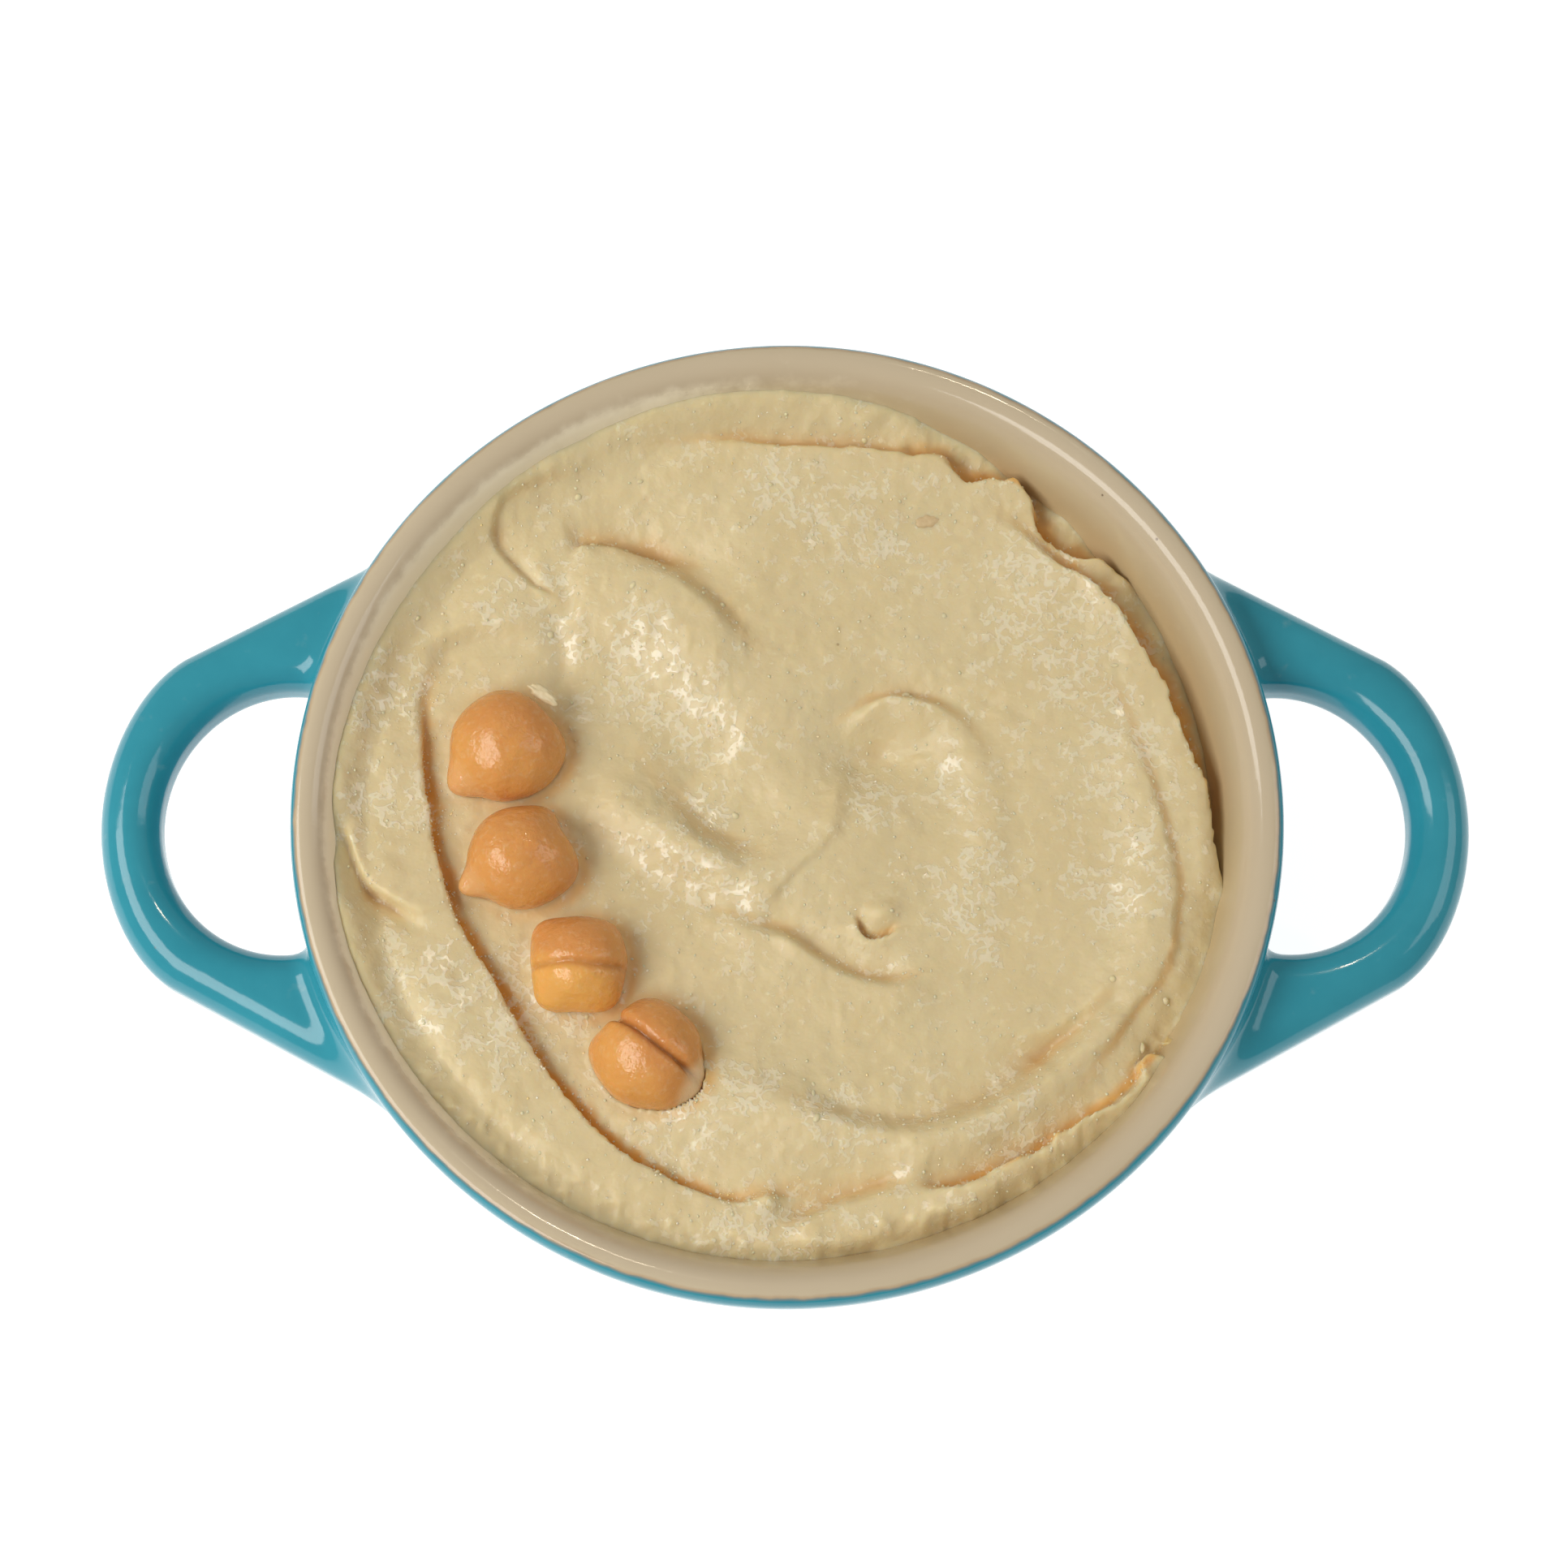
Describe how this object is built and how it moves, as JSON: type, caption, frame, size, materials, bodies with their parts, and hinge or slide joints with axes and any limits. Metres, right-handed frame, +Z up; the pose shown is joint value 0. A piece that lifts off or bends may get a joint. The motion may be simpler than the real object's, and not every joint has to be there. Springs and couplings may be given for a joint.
{
  "type": "hummus in a two-handled dish",
  "caption": "Hummus swirled with a spoon and topped with cooked chickpeas, served in a small round glazed dish with a loop handle on each side.",
  "frame": {"origin": "middle of the foot ring's face, on the table", "axes": "+X through the two handles, +Y away from the front, +Z up"},
  "size_m": [0.1496, 0.1066, 0.05],
  "materials": {
    "dish_glaze": "glossy cream glaze inside and over the lip, teal glaze outside and on the handles, bare foot ring",
    "hummus_paste": "moist grainy paste with soft sheen",
    "chickpea": "wet cooked chickpea skin"
  },
  "bodies": {
    "root": {"dish": "dish_glaze", "hummus": "hummus_paste", "chickpea_1": "chickpea", "chickpea_2": "chickpea", "chickpea_3": "chickpea", "chickpea_4": "chickpea"}
  },
  "joints": []
}
